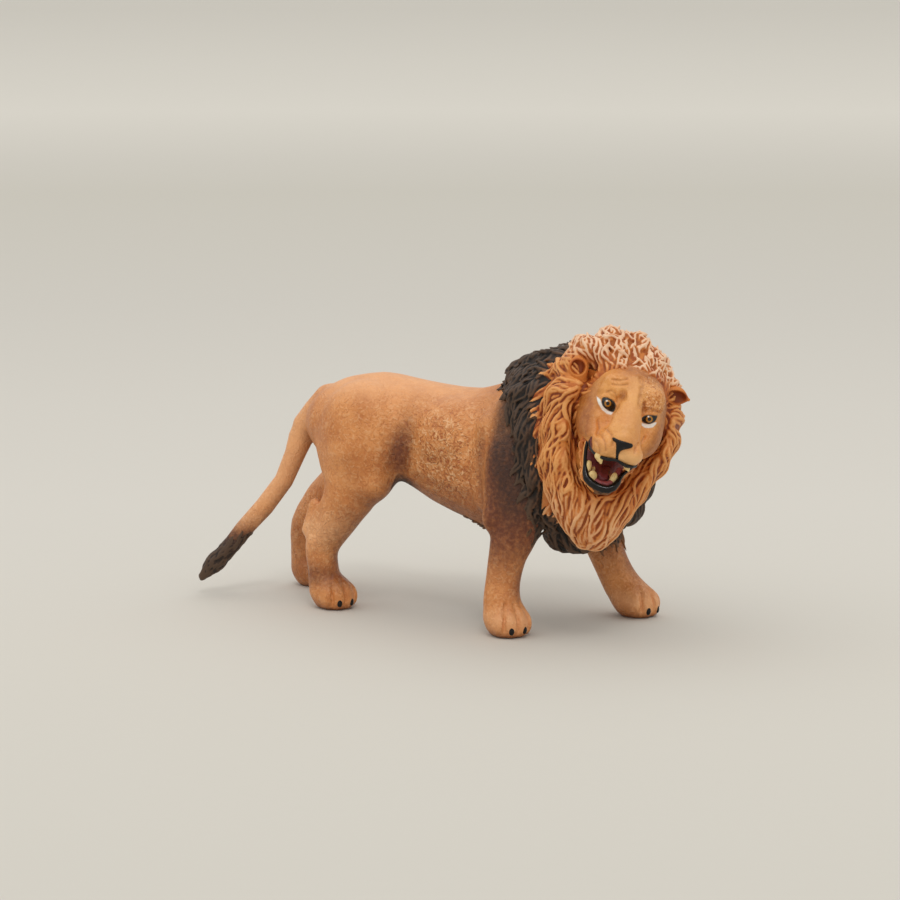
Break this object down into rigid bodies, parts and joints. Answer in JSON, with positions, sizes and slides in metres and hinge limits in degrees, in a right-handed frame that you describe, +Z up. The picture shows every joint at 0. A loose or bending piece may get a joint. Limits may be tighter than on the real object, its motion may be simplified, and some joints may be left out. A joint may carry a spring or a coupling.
{
  "type": "toy lion figure",
  "caption": "Moulded toy figure of a male lion walking on all fours, head turned to its right with an open roaring mouth, thick two-tone mane and a long hanging tail with a tuft.",
  "frame": {"origin": "on the ground under the middle of the figure's outer length and width", "axes": "+X from the tail towards the head, +Y to the lion's left, +Z up"},
  "size_m": [0.1044, 0.0492, 0.0575],
  "materials": {
    "body_paint": "satin, fine moulded fur relief",
    "dark_mane_paint": "matt, dry-brushed grey on the ridges",
    "gold_mane_paint": "matt, dry-brushed tan on the ridges",
    "face_paint": "satin",
    "eye_paint": "high gloss",
    "nose_paint": "gloss",
    "tooth_paint": "semi-gloss",
    "tongue_paint": "semi-gloss"
  },
  "bodies": {
    "root": {"torso": "body_paint", "rear_mane": "dark_mane_paint", "front_mane": "gold_mane_paint", "head": "face_paint", "lower_jaw": "face_paint", "tongue": "tongue_paint", "upper_teeth": "tooth_paint", "lower_teeth": "tooth_paint", "nose_pad": "nose_paint", "right_eye": "eye_paint", "left_eye": "eye_paint", "right_ear": "gold_mane_paint", "left_ear": "gold_mane_paint", "right_foreleg": "body_paint", "left_foreleg": "body_paint", "right_hindleg": "body_paint", "left_hindleg": "body_paint", "tail": "body_paint", "tail_tuft": "dark_mane_paint"}
  },
  "joints": []
}
